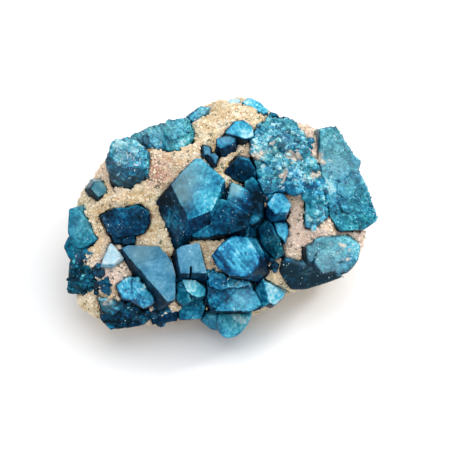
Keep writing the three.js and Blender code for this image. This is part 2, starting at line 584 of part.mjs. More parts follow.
// Big rough plate standing up the right-hand edge.
grow('right_slab', 'druse', crust([
  block({ face: [[17.6, 15.6], [20.4, 16], [23, 12.2], [24.2, 10.2], [23.2, 7],
    [18.4, 5], [17.5, 10]], height: 9, tilt: [-0.36, -0.08], lean: [-0.12, -0.05],
  flare: 0.03, depth: 5.5 }),
  block({ face: [[18.6, 6.6], [24, 9.4], [26, 5.4], [27.9, -0.4], [25.6, -2],
    [21.2, -2.4], [19.4, 0.4]], height: 8.6, tilt: [-0.36, -0.02], lean: [-0.12, 0],
  flare: 0.03, depth: 5.5 }),
], { outline: [[18.4, 14.4], [20, 14.8], [21.4, 12.8], [23, 9.6], [24.6, 5.4], [26.2, 1],
  [24.8, -1], [21.8, -1.4], [20.2, 1], [19.6, 4], [18.6, 8]], spacing: 2.9,
widths: [2.6, 4.6], heights: [0.2, 0.7], seed: 47 }));

// Crust of small crystals over the upper right, with a lobe below.
grow('upper_right_druse', 'druse', crust([
  block({ face: [[5.2, 11.2], [6.3, 15.4], [8.6, 17.6], [12.6, 17], [15, 14.2],
    [15.6, 10.6], [8, 9.6]], rise: 1.2, flare: 0.06, depth: 5 }),
  block({ face: [[5.2, 5.8], [6.2, 10.4], [13, 10], [13.6, 4.7], [6.9, 4.2]], rise: 1.4,
    tilt: [0.1, 0.05], flare: 0.06, depth: 5 }),
  block({ face: [[12.6, 10.2], [16.4, 10.4], [17.4, 7], [17.2, 4], [13, 4.8]], rise: 1.2,
    flare: 0.06, depth: 5 }),
  block({ face: [[15.1, 4.4], [17.2, 4.2], [18.8, 2.6], [18.5, 0], [16.6, -1.8],
    [15.1, -1.6]], rise: 1.2, flare: 0.06, depth: 5 }),
], { outline: [[6, 12], [7, 15.4], [9, 16.8], [12.2, 16.2], [14.2, 14], [15.4, 10.2],
  [16.4, 7.4], [16.8, 4], [18, 2.6], [18, 0.6], [16.8, -0.8], [15.6, -1], [15.6, 2],
  [13.4, 5.4], [9.4, 5.4], [7, 4.8], [6, 8]], spacing: 3, widths: [2.6, 4.2],
heights: [0.8, 2.4], seed: 71, broken: false }));

// Small crystals along the top edge.
grow('top_pale', 'pale', [
  block({ face: [[1.1, 20.5], [2.2, 21.4], [3.6, 21.2], [3.2, 20]], height: 3.6,
    tilt: [0, -0.5], lean: [0, -0.5], depth: 4 }),
]);
grow('top_bright', 'cyan', [
  block({ face: [[3.9, 20.6], [5.2, 21.5], [7.2, 20.6], [8.7, 19], [7.8, 18.4],
    [5.6, 19.4]], height: 5.2, tilt: [-0.25, -0.5], lean: [-0.1, -0.45], flare: 0.05,
  depth: 5 }),
]);
grow('top_dark', 'deep', [
  block({ face: [[9, 18.8], [10, 18.5], [11, 17.2], [10, 16.5], [8.6, 17.6]],
    height: 6.4, tilt: [0, -0.3], lean: [-0.1, -0.3], depth: 5 }),
]);
grow('top_corner', 'teal', [
  block({ face: [[11.2, 18.1], [12.3, 17.8], [13, 16.8], [11.8, 16.6]], height: 5.4,
    tilt: [-0.1, -0.3], lean: [-0.2, -0.3], depth: 5 }),
]);

// Groups on the back and sides.
grow('back_upper_group', 'teal', sideGroup(96, 12.5, [
  [0, 0, 6, 3.6, 0.1, 0.1, 10], [4.4, -1, 4.2, 2.8, 0.5, 0.1, 35],
  [-3.8, -2.2, 4.4, 2.6, -0.5, -0.1, 50],
]));
grow('back_crest_pair', 'teal', sideGroup(84, 19, [
  [0, 0, 4.6, 1.8, 0, 0.3, 15], [3.6, 0.6, 3.2, 1.5, 0.4, 0.4, 40],
]));
grow('back_left_group', 'cyan', sideGroup(146, 8.5, [
  [0, 0, 5.2, 3.8, 0, 0, 20], [-3.6, 1.6, 4, 2.8, -0.4, 0.2, 0],
  [2.6, -2.4, 3.6, 2.6, 0.4, -0.2, 40],
]));
grow('back_right_group', 'deep', sideGroup(46, 9.5, [
  [0, 0, 5.6, 3.6, 0.1, 0, 0], [3.6, 1.6, 3.8, 2.8, 0.5, 0.2, 25],
  [-3.4, 1, 3.4, 2.2, -0.4, 0.1, 45],
]));
grow('back_low_right', 'cyan', sideGroup(74, 5, [
  [0, 0, 4.2, 2.8, -0.2, 0, 40], [-2.6, 0.8, 2.8, 2.2, -0.5, 0.2, 10],
]));
grow('right_low_pair', 'teal', sideGroup(12, 6, [
  [0, 0, 4.4, 2.8, 0.1, -0.1, 5], [3.2, 0.6, 3.2, 2.2, 0.5, 0, 30],
]));
grow('left_low_pair', 'deep', sideGroup(190, 6, [
  [0, 0, 4.4, 2.8, -0.1, -0.1, 5], [-3.2, 0.8, 3.4, 2.2, -0.5, 0, 30],
]));

// -------------------------------------------------------------- final solids
const underside = blockBelow(FOOT_CLEARANCE);
let taken = null; // all crystals so far, with their clearance
const solids = [];
for (const { name, look, forms, notches } of crystals) {
  let solid = joinAll(forms.map((form) => planeSolid(form)));
  for (const notch of notches) solid = solid.subtract(planeSolid(notch));
  if (taken) solid = solid.subtract(taken);
  solids.push({ name, look, solid: largestBody(solid.subtract(underside)) });
  const room = joinAll(forms.map((form) => planeSolid(form, SOCKET_GAP)));
  taken = taken ? taken.add(room) : room;
}
solids.push({ name: 'matrix_rock', look: 'rock',
  solid: largestBody(rockWhole.subtract(taken)) });

const lump = new THREE.Group();
for (const { name, look, solid } of solids) {
  const mesh = new THREE.Mesh(toGeometry(solid), new THREE.MeshStandardMaterial({
    ...LOOKS[look], metalness: 0, flatShading: true }));
  mesh.name = name;
  lump.add(mesh);
}
lump.applyMatrix4(toWorld);

// The origin is under the middle of the lump, on the surface it stands on.
const cluster = new THREE.Group();
cluster.add(lump);
const extent = new THREE.Box3().setFromObject(cluster, true);
const middle = extent.getCenter(new THREE.Vector3());
lump.position.sub(new THREE.Vector3(middle.x, middle.y, extent.min.z));

export default cluster;
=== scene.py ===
import itertools
import math

import bmesh
import bpy
import numpy as np
from mathutils import Euler, Matrix, Vector
from mathutils.bvhtree import BVHTree


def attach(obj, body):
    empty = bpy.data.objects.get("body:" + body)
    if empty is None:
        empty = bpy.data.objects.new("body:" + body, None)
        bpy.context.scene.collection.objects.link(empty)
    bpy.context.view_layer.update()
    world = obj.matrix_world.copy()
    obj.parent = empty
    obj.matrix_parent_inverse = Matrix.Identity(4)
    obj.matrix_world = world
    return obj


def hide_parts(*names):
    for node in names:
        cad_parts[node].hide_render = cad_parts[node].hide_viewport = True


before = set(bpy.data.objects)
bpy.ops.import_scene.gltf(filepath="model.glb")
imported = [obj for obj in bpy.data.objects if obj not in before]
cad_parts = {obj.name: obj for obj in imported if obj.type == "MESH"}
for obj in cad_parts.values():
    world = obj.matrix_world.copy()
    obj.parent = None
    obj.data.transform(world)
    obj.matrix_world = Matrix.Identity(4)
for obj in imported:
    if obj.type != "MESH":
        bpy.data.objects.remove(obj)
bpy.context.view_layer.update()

scene = bpy.context.scene

# ---------------------------------------------------------------------------
# The vein rock. A lump of pale, sugary carbonate that the crystals grew on,
# broken out of its vein with them and sawn flat below so that it stands. The
# crystals sit in it up to the line where the rock's grains close round them.
MM = 0.001  # everything is built in metres
ROCK_STEP = 0.34 * MM  # spacing of the rock's mesh
ROCK_SWELL = 0.3 * MM  # brings the rock up against the crystals
ROCK_RELIEF = [  # size and height of the swellings, from broad to fine
    (4.2 * MM, 0.5 * MM, 11), (1.9 * MM, 0.34 * MM, 12), (0.9 * MM, 0.2 * MM, 13),
    (0.45 * MM, 0.12 * MM, 14)]
SAWN_FADE = 0.8 * MM  # height above the sawn base where the relief is full
BREAK_SIZE, BREAK_SLOPE = 6 * MM, 0.13  # flat breaks on the back and the sides
RIM, RIM_FADE = 0.25 * MM, 0.3 * MM  # no grains so near a crystal, then a few
GRAINS_FROM = 1.2 * MM  # height above the sawn base where the grains begin
WELD = 0.001 * MM  # corners of a solid that are this near are one

# The display face leans back this much above lying flat, and its middle, where
# u and v are 0, stands here. u runs across it, v up it and w out of it.
LEAN = math.radians(35)
MIDDLE = Vector((-0.05 * MM, -1.03 * MM, 13 * MM))
BEHIND = -6  # mm: what lies lower in w is not seen from the front
display = np.array(Matrix.Rotation(LEAN, 3, "X"))


def face_places(points):
    """Points as u, v, w on the display face, in mm."""
    return (points - np.array(MIDDLE)) @ display / MM


def chance(cells, seed):
    """A random value from -1 to 1 for each cell of a grid, mixed from the cell's
    numbers and the seed by large odd factors."""
    mix = (cells[:, 0] * 73856093) ^ (cells[:, 1] * 19349663) ^ (cells[:, 2] * 83492791)
    mix = (mix ^ (seed * 668265263)) * 1274126177
    mix = (mix ^ (mix >> 15)) * 2246822519
    return ((mix ^ (mix >> 13)) & 0xFFFF) / 32767.5 - 1


def swellings(points, size, seed):
    """Smooth random values from -1 to 1 that change over about a size."""
    grid = points / size
    cell = np.floor(grid).astype(np.int64)
    part = grid - cell
    part = part * part * (3 - 2 * part)
    total = np.zeros(len(points))
    for corner in itertools.product((0, 1), repeat=3):
        weight = np.prod(np.where(corner, part, 1 - part), axis=1)
        total += weight * chance(cell + np.array(corner), seed)
    return total


def mosaic(points, size, seed):
    """Random cells of about a size. Where each point is from its cell's middle,
    three values of the cell's own, and 1 on the cell's border to 0 inside."""
    grid = points / size
    base = np.floor(grid).astype(np.int64)
    best, second = np.full(len(points), 9.0), np.full(len(points), 9.0)
    away, own = np.zeros((len(points), 3)), np.zeros((len(points), 3))
    for step in itertools.product((-1, 0, 1), repeat=3):
        cell = base + np.array(step)
        values = np.stack([chance(cell, seed + i) for i in range(3)], axis=1)
        offset = grid - (cell + 0.5 + 0.42 * values)
        distance = np.sum(offset * offset, axis=1)
        closer = distance < best
        second = np.where(closer, best, np.minimum(second, distance))
        best = np.where(closer, distance, best)
        away[closer], own[closer] = offset[closer], values[closer]
    border = np.clip(1 - (np.sqrt(second) - np.sqrt(best)) / 0.2, 0, 1)
    return away * size, own, border


def read(mesh, what="co"):
    """The place of each point of a mesh, or its direction if what is "normal"."""
    values = np.empty(len(mesh.vertices) * 3, np.float32)
    mesh.vertices.foreach_get(what, values)
    return values.reshape(-1, 3).astype(float)


def write(mesh, points):
    """Moves the points of a mesh."""
    mesh.vertices.foreach_set("co", points.astype(np.float32).ravel())
    mesh.update()


def mark(mesh, name, values):
    """Keeps one number for each point of a mesh."""
    layer = mesh.attributes.get(name) or mesh.attributes.new(name, "FLOAT", "POINT")
    layer.data.foreach_set("value", values.astype(np.float32))


def settle(obj):
    """Turns an object's modifiers into plain mesh."""
    graph = bpy.context.evaluated_depsgraph_get()
    mesh = bpy.data.meshes.new_from_object(obj.evaluated_get(graph))
    obj.modifiers.clear()
    obj.data = mesh


def new_object(name, data):
    """An object at the origin, shown in the scene."""
    obj = bpy.data.objects.new(name, data)
    scene.collection.objects.link(obj)
    return obj


def search_tree(meshes):
    """A search tree of the faces of some meshes."""
    faces = bmesh.new()
    for mesh in meshes:
        faces.from_mesh(mesh)
    tree = BVHTree.FromBMesh(faces)
    faces.free()
    return tree


def fine_copy(node, name, step):
    """A node's solid as an even fine mesh, and a search tree of its own faces."""
    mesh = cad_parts[node].data.copy()
    mesh.materials.clear()
    solid = bmesh.new()
    solid.from_mesh(mesh)
    bmesh.ops.remove_doubles(solid, verts=solid.verts, dist=WELD)
    solid.normal_update()
    tree = BVHTree.FromBMesh(solid)
    solid.to_mesh(mesh)
    solid.free()
    obj = new_object(name, mesh)
    remesh = obj.modifiers.new("even mesh", "REMESH")
    remesh.mode = "VOXEL"
    remesh.voxel_size = step
    remesh.use_smooth_shade = True
    settle(obj)
    return obj, tree


def nearest(points, tree):
    """The nearest point of a solid to each point, the face's direction there and
    the distance."""
    found = [tree.find_nearest(p) for p in points.tolist()]
    return (np.array([f[0][:] for f in found]), np.array([f[1][:] for f in found]),
            np.array([f[3] for f in found]))


def srgb(red, green, blue):
    """A colour given as 0 to 255 on a screen, as linear light."""
    return tuple((c / 255 / 12.92 if c <= 10 else ((c / 255 + 0.055) / 1.055) ** 2.4)
                 for c in (red, green, blue)) + (1,)


def add(tree, kind, inputs=None, **settings):
    """A node with its settings, and its inputs by name or number."""
    node = tree.nodes.new(kind)
    for name, value in settings.items():
        setattr(node, name, value)
    for name, value in (inputs or {}).items():
        if isinstance(value, bpy.types.NodeSocket):
            tree.links.new(value, node.inputs[name])
        else:
            node.inputs[name].default_value = value
    return node


def marked(tree, name):
    """The number that is kept for each point of a mesh."""
    return add(tree, "ShaderNodeAttribute", attribute_name=name).outputs["Fac"]


def sums(tree, operation, first, second):
    return add(tree, "ShaderNodeMath", {0: first, 1: second},
               operation=operation).outputs[0]


def blended(tree, share, first, second, way="MIX"):
    """The first colour, with a share of the second."""
    return add(tree, "ShaderNodeMix", {0: share, 6: first, 7: second},
               data_type="RGBA", blend_type=way).outputs[2]


def spread(tree, value, low, high, to_low=0.0, to_high=1.0):
    """A value that goes evenly from to_low to to_high between low and high."""
    return add(tree, "ShaderNodeMapRange", {0: value, 1: low, 2: high, 3: to_low,
                                            4: to_high}).outputs[0]


def new_material(name):
    material = bpy.data.materials.new(name)
    material.use_nodes = True
    tree = material.node_tree
    tree.nodes.clear()
    return material, tree


def rock_finish():
    """Sugary rock. Its scales are in cells per metre: 1900 is grains of 0.5 mm."""
    material, tree = new_material("sugary vein rock")
    place = add(tree, "ShaderNodeTexCoord").outputs["Object"]
    broad = add(tree, "ShaderNodeTexNoise", {"Vector": place, "Scale": 130,
                                             "Detail": 4}).outputs["Fac"]
    grains = add(tree, "ShaderNodeTexVoronoi", {"Vector": place, "Scale": 1900})
    own = add(tree, "ShaderNodeSeparateColor", {0: grains.outputs["Color"]})
    fine = add(tree, "ShaderNodeTexVoronoi", {"Vector": place, "Scale": 4200})
    blotch = add(tree, "ShaderNodeTexNoise", {"Vector": place, "Scale": 620,
                                              "Detail": 3}).outputs["Fac"]
    color = blended(tree, spread(tree, broad, 0.42, 0.6), srgb(208, 184, 146),
                    srgb(220, 206, 172))
    color = blended(tree, spread(tree, blotch, 0.5, 0.66, 0, 0.75), color,
                    srgb(206, 166, 104))
    color = blended(tree, spread(tree, blotch, 0.48, 0.34, 0, 0.7), color,
                    srgb(236, 228, 206))
    pink = sums(tree, "MULTIPLY", marked(tree, "pink"), 0.85)
    color = blended(tree, pink, color, srgb(236, 210, 196))
    color = blended(tree, marked(tree, "brown"), color, srgb(178, 134, 118))
    light = spread(tree, own.outputs[0], 0, 1, 0.7, 1.18)
    color = blended(tree, 1.0, color, light, "MULTIPLY")
    for test, share, strength, grain in [
            ("GREATER_THAN", 0.95, 0.6, srgb(176, 112, 56)),
            ("LESS_THAN", 0.08, 0.75, srgb(44, 62, 50))]:
        chosen = sums(tree, test, own.outputs[1], share)
        color = blended(tree, sums(tree, "MULTIPLY", chosen, strength), color, grain)
    rough = spread(tree, own.outputs[2], 0, 1, 0.45, 0.95)
    relief = sums(tree, "ADD", grains.outputs["Distance"],
                  sums(tree, "MULTIPLY", fine.outputs["Distance"], 0.5))
    bump = add(tree, "ShaderNodeBump", {"Strength": 0.9, "Distance": 0.12 * MM,
                                        "Height": relief}, invert=True)
    shader = add(tree, "ShaderNodeBsdfPrincipled", {
        "Base Color": color, "Roughness": rough, "Normal": bump.outputs[0],
        "IOR": 1.5})
    add(tree, "ShaderNodeOutputMaterial", {"Surface": shader.outputs[0]})
    return material


rock_material = rock_finish()

# Patches of the rock: u, v, reach, strength.
PINK_PATCHES = [(16, 13, 5, 1), (15, -2, 7, 1), (6.5, 10.5, 2, 1), (12.5, 10.5, 2, 1),
                (-11.5, -17, 4, 0.9), (-19, -10, 4, 0.8), (-19, -7, 3, 0.5),
                (-21, 8, 4, 0.5), (-10, 10, 5, 0.4), (24, -4, 3, 1)]
BROWN_PATCHES = [(-11.2, 8.9, 2.6, 1), (-10.4, 6.8, 1.6, 0.6)]


def soft_spots(places, table):
    """Round spots u, v, reach, strength on the display face that fade outward."""
    total = np.zeros(len(places))
    for u, v, reach, strength in table:
        away = np.hypot(places[:, 0] - u, places[:, 1] - v) / reach
        total += strength * np.exp(-away * away)
    return total


def patches(places, table):
    """Such spots from 0 to 1, only where the front shows them."""
    return np.clip(soft_spots(places, table) * (places[:, 2] > BEHIND), 0, 1)


crystal_tree = search_tree([obj.data for node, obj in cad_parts.items()
                            if node != "matrix_rock"])
rock, _ = fine_copy("matrix_rock", "vein_rock", ROCK_STEP)
points, outward = read(rock.data), read(rock.data, "normal")
swell = np.full(len(points), ROCK_SWELL)
for size, height, seed in ROCK_RELIEF:
    swell += height * swellings(points, size, seed)
away, drawn, _ = mosaic(points, BREAK_SIZE, 15)
# 0 where the rock looks the way that the display face does, 1 where it looks away.
turned_back = np.clip(0.8 - 1.6 * (outward @ display)[:, 2], 0, 1)
swell += BREAK_SLOPE * turned_back * np.sum(away * drawn, axis=1)
fade = np.clip(points[:, 2] / SAWN_FADE, 0, 1)
rock_points = points + outward * (swell * fade)[:, None]
rock_points[:, 2] = np.maximum(rock_points[:, 2], 0)
write(rock.data, rock_points)
gap = nearest(rock_points, crystal_tree)[2]
room = np.clip((gap - RIM) / RIM_FADE, 0, 1) * (rock_points[:, 2] > GRAINS_FROM)
rock_places = face_places(rock_points)
speckle = 0.25 * swellings(rock_points, 1.5 * MM, 21)
for name, table, uneven in [("pink", PINK_PATCHES, speckle),
                            ("brown", BROWN_PATCHES, speckle / 2)]:
    mark(rock.data, name, np.clip(patches(rock_places, table) + uneven, 0, 1))
rock.data.materials.append(rock_material)
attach(rock, "root")
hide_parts("matrix_rock")

# ---------------------------------------------------------------------------
# Sugar of the rock. Loose-edged carbonate rhombs, a few tenths of a millimetre
# across, that stand out of the lump all over, with dark grains among them.


def scatter_tree():
    """Small pieces set all over a surface, each turned and leaned at random."""
    tree = bpy.data.node_groups.new("small pieces on a surface", "GeometryNodeTree")
    face = tree.interface
    face.new_socket("Surface", in_out="INPUT", socket_type="NodeSocketGeometry")
    for name, kind in [("Piece", "Object"), ("Finish", "Material"), ("Apart", "Float"),
                       ("Most per m2", "Float"), ("Smallest", "Float"),
                       ("Largest", "Float"), ("Few large", "Float"),
                       ("Lean", "Float"), ("Stretch", "Float"),
                       ("Tone spread", "Float"), ("Seed", "Int")]:
        face.new_socket(name, in_out="INPUT", socket_type="NodeSocket" + kind)
    face.new_socket("Pieces", in_out="OUTPUT", socket_type="NodeSocketGeometry")
    given = add(tree, "NodeGroupInput").outputs

    def random(low, high, seed):
        return add(tree, "FunctionNodeRandomValue",
                   {2: low, 3: high, 8: seed}).outputs[1]

    def kept_number(name):
        return add(tree, "GeometryNodeInputNamedAttribute", {"Name": name},
                   data_type="FLOAT").outputs[0]

    spots = add(tree, "GeometryNodeDistributePointsOnFaces", {
        "Mesh": given["Surface"], "Distance Min": given["Apart"],
        "Density Max": given["Most per m2"], "Density Factor": kept_number("room"),
        "Seed": given["Seed"]}, distribute_method="POISSON")
    leftward = sums(tree, "MULTIPLY", given["Lean"], -1.0)
    turn = add(tree, "ShaderNodeCombineXYZ", {
        0: random(leftward, given["Lean"], 1), 1: random(leftward, given["Lean"], 2),
        2: random(0.0, 2 * math.pi, 3)})
    turned = add(tree, "FunctionNodeRotateRotation", {
        0: spots.outputs["Rotation"],
        1: add(tree, "FunctionNodeEulerToRotation", {0: turn.outputs[0]}).outputs[0]},
        rotation_space="LOCAL")
    share = sums(tree, "POWER", random(0.0, 1.0, 4), given["Few large"])
    size = spread(tree, share, 0.0, 1.0, given["Smallest"], given["Largest"])
    tall = sums(tree, "MULTIPLY", size, random(0.75, given["Stretch"], 5))
    scale = add(tree, "ShaderNodeCombineXYZ", {0: size, 1: size, 2: tall})
    piece = add(tree, "GeometryNodeObjectInfo", {"Object": given["Piece"]})
    placed = add(tree, "GeometryNodeInstanceOnPoints", {
        "Points": spots.outputs["Points"], "Instance": piece.outputs["Geometry"],
        "Rotation": turned.outputs[0], "Scale": scale.outputs[0]})
    half = sums(tree, "MULTIPLY", given["Tone spread"], 0.5)
    own = sums(tree, "ADD", kept_number("tone"),
               random(sums(tree, "MULTIPLY", half, -1.0), half, 6))
    kept = add(tree, "GeometryNodeStoreNamedAttribute", {
        "Geometry": placed.outputs[0], "Name": "tone", "Value": own},
        data_type="FLOAT", domain="INSTANCE")
    real = add(tree, "GeometryNodeRealizeInstances", {"Geometry": kept.outputs[0]})
    finished = add(tree, "GeometryNodeSetMaterial", {"Geometry": real.outputs[0],
                                                     "Material": given["Finish"]})
    add(tree, "NodeGroupOutput", {0: finished.outputs[0]})
    return tree


small_pieces = scatter_tree()


def scatter(surface, where, name, piece, finish, slot, tone=None, **sizes):
    """Small pieces on a surface as one plain mesh. where: how closely they stand
    at each point of the surface, from 0 to 1. tone: theirs, if not the surface's."""
    obj = new_object(name, surface.data.copy())
    mark(obj.data, "room", where)
    if tone is not None:
        mark(obj.data, "tone", np.full(len(where), tone))
    modifier = obj.modifiers.new("pieces", "NODES")
    modifier.node_group = small_pieces
    values = {"Piece": piece, "Finish": finish, "Most per m2": 3e7, "Few large": 1.0,
              "Lean": 0.5, "Stretch": 1.3, "Tone spread": 0.3, **sizes}
    for item in small_pieces.interface.items_tree:
        if item.in_out == "INPUT" and item.name in values:
            modifier[item.identifier] = values[item.name]
    settle(obj)
    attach(obj, "root")


def template(name, corners):
    """A small closed shape with flat faces round its corners."""
    shape = bmesh.new()
    for corner in corners:
        shape.verts.new(corner)
    bmesh.ops.convex_hull(shape, input=shape.verts)
    bmesh.ops.dissolve_limit(shape, angle_limit=0.02, verts=shape.verts,
                             edges=shape.edges)
    bmesh.ops.recalc_face_normals(shape, faces=shape.faces)
    mesh = bpy.data.meshes.new(name)
    shape.to_mesh(mesh)
    shape.free()
    return new_object(name, mesh)


RHOMB_SLANT = 0.28  # how far a rhomb leans over
rhomb = template("rhomb", [(x + RHOMB_SLANT * z, y + RHOMB_SLANT * z, z)
                           for x, y, z in itertools.product((-0.5, 0.5), repeat=3)])


def grain_finish(name, low, high, roughness):
    """low and high: colours of the darkest and the palest grains."""
    material, tree = new_material(name)
    place = add(tree, "ShaderNodeTexCoord").outputs["Object"]
    cloud = add(tree, "ShaderNodeTexNoise", {"Vector": place, "Scale": 2500}).outputs[0]
    color = blended(tree, marked(tree, "tone"), low, high)
    pink = sums(tree, "MULTIPLY", marked(tree, "pink"), 0.8)
    color = blended(tree, pink, color, srgb(236, 214, 200))
    shader = add(tree, "ShaderNodeBsdfPrincipled", {
        "Base Color": color, "Roughness": spread(tree, cloud, 0.3, 0.7, roughness, 0.8),
        "IOR": 1.6})
    add(tree, "ShaderNodeOutputMaterial", {"Surface": shader.outputs[0]})
    return material


grain_tones = 0.5 + 0.4 * swellings(rock_points, 2.5 * MM, 31)
mark(rock.data, "tone", np.clip(grain_tones, 0, 1))
grains = grain_finish("carbonate grains", srgb(204, 178, 136), srgb(236, 226, 202),
                      0.35)
scatter(rock, room, "rock_sugar", rhomb, grains, "rock", Apart=0.44 * MM,
        Smallest=0.16 * MM, Largest=0.52 * MM, Seed=5, Lean=0.8,
        **{"Few large": 2.2, "Tone spread": 0.9})

# ---------------------------------------------------------------------------
# The crystals. Dioptase, a glassy blue-green copper silicate, see-through in
# thin places and nearly black in thick ones. Their faces carry faint growth
# steps and ribs, their edges are chipped, and they grow out of the rock.
CRYSTAL_STEP = 0.16 * MM
CRYSTAL_SWELL = 0.1  # mm by which each grows toward those beside it
CRYSTAL_LOWEST = 0.1 * MM  # none comes nearer to the floor
TERRACE, FINE_TERRACE = 2.3 * MM, 0.9 * MM  # reach of the growth steps
TERRACE_LEVELS = 4  # of them from a swelling's middle to its top
GRIT = 0.5 * MM  # size of the fine roughness
RIB_BEND, RIB_WAVER, RIB_FADE = 2.2 * MM, 0.7 * MM, 1.8 * MM  # lengths along ribs
PAINTED_STREAK, FINE_PAINTED_STREAK = 0.5, 0.24  # mm: widths of the painted light and dark streaks between ribs
CHIP = 1.1 * MM  # length of a chip along an edge
EDGE_WEAR_AND_HIGHLIGHT = 1.4 * MM  # length of the stretches of an edge painted pale, as wear and painted highlight
HUE_REACH = 4 * MM  # over which the greenness changes
RAGGED = 0.6 * MM  # size of the gaps in a stain
LIT_SIDE = np.array((0.38, 0.5, 0.62))  # painted light on faces turned this way, painted shade on those turned away
FACE_MIX = np.array((12.99, 78.23, 37.72))  # turns a direction into a tone of its own


def crystal_finish(name, blues, greens, roughness, clear, absorb, density,
                   gloss, veils=0.13, sparse=0.76, mottled=0.14):
    """blues and greens: colours from the darkest tone to the palest; clear: share of
    light that goes in, to be absorbed there but for the colour absorb, the more the
    higher the density; gloss: strength of its reflections; veils: how strong its
    pale cracks are; sparse: share of its painted glint flecks that are left out;
    mottled: how much its tone changes from spot to spot."""
    material, tree = new_material(name)
    place = add(tree, "ShaderNodeTexCoord").outputs["Object"]
    tone, green, stain, milk_sheen = (marked(tree, what) for what in (
        "tone", "green", "stain", "milk_sheen"))
    cloud = add(tree, "ShaderNodeTexNoise", {"Vector": place, "Scale": 420,
                                             "Detail": 5, "Roughness": 0.6}).outputs[0]
    mottle = add(tree, "ShaderNodeTexNoise", {"Vector": place, "Scale": 1700,
                                              "Detail": 3}).outputs[0]
    tone = sums(tree, "ADD", tone, spread(tree, cloud, 0.3, 0.7, -0.17, 0.17))
    tone = sums(tree, "ADD", tone, spread(tree, mottle, 0.3, 0.7, -mottled, mottled))
    ramps = []
    for colors in (blues, greens):
        ramp = add(tree, "ShaderNodeValToRGB", {0: tone})
        stops = ramp.color_ramp.elements
        for i, color in enumerate(colors):
            stop = stops[i] if i < 2 else stops.new(1)
            stop.position = i / (len(colors) - 1)
            stop.color = color
        ramps.append(ramp.outputs[0])
    color = blended(tree, green, *ramps)
    # Cloudy patches, painted as a pale sheen; they are kept only on faces turned to the
    # light.
    milk_sheen = sums(tree, "MULTIPLY", milk_sheen, spread(tree, cloud, 0.3, 0.7, 0.6, 1.2))
    color = blended(tree, milk_sheen, color, srgb(132, 172, 180))
    # Pale healed cracks inside, and pale flecks that are painted glints, bent by up to
    # about half a millimetre.
    waves = add(tree, "ShaderNodeTexNoise", {"Vector": place, "Scale": 600}).outputs[1]
    bend = blended(tree, 0.6 * MM, srgb(0, 0, 0), waves)
    bent = add(tree, "ShaderNodeVectorMath", {0: place, 1: bend},
               operation="ADD").outputs[0]
    cracks = add(tree, "ShaderNodeTexVoronoi", {"Vector": bent, "Scale": 330},
                 feature="DISTANCE_TO_EDGE").outputs["Distance"]
    crack = spread(tree, cracks, 0.0, 0.05, veils, 0.0)
    crack = sums(tree, "MULTIPLY", crack, spread(tree, cloud, 0.45, 0.65))
    glint_flecks = add(tree, "ShaderNodeTexVoronoi", {"Vector": bent, "Scale": 2000})
    own = add(tree, "ShaderNodeSeparateColor", {0: glint_flecks.outputs["Color"]})
    near = sums(tree, "LESS_THAN", glint_flecks.outputs["Distance"],
                spread(tree, own.outputs[1], 0.0, 1.0, 0.06, 0.25))
    crowding = spread(tree, cloud, 0.4, 0.65, -0.12, 0.08)
    kept = sums(tree, "GREATER_THAN", sums(tree, "ADD", own.outputs[0], crowding),
                sparse)
    glint_fleck = sums(tree, "MULTIPLY", sums(tree, "MULTIPLY", near, kept),
                 spread(tree, own.outputs[2], 0.0, 1.0, 0.35, 1.0))
    color = blended(tree, crack, color, srgb(150, 214, 226))
    color = blended(tree, sums(tree, "MULTIPLY", glint_fleck, 0.85), color,
                    srgb(215, 244, 250))
    color = blended(tree, stain, color, srgb(228, 210, 192))
    # Duller over the painted glint flecks and in the darkest tones.
    rough = spread(tree, mottle, 0.35, 0.7, roughness, roughness + 0.16)
    rough = sums(tree, "ADD", rough, sums(tree, "MULTIPLY", glint_fleck, 0.3))
    rough = sums(tree, "ADD", rough, spread(tree, tone, 0.05, 0.4, 0.4, 0.0))
    bump = add(tree, "ShaderNodeBump", {"Strength": 0.35, "Distance": 0.06 * MM,
                                        "Height": mottle})
    shader = add(tree, "ShaderNodeBsdfPrincipled", {
        "Base Color": color, "Roughness": rough, "Normal": bump.outputs[0],
        "IOR": 1.66, "Specular IOR Level": gloss, "Transmission Weight": clear,
        "Specular Tint": srgb(150, 220, 255)})
    inside = add(tree, "ShaderNodeVolumeAbsorption", {"Color": absorb,
                                                      "Density": density})
    add(tree, "ShaderNodeOutputMaterial", {"Surface": shader.outputs[0],
                                           "Volume": inside.outputs[0]})
    return material


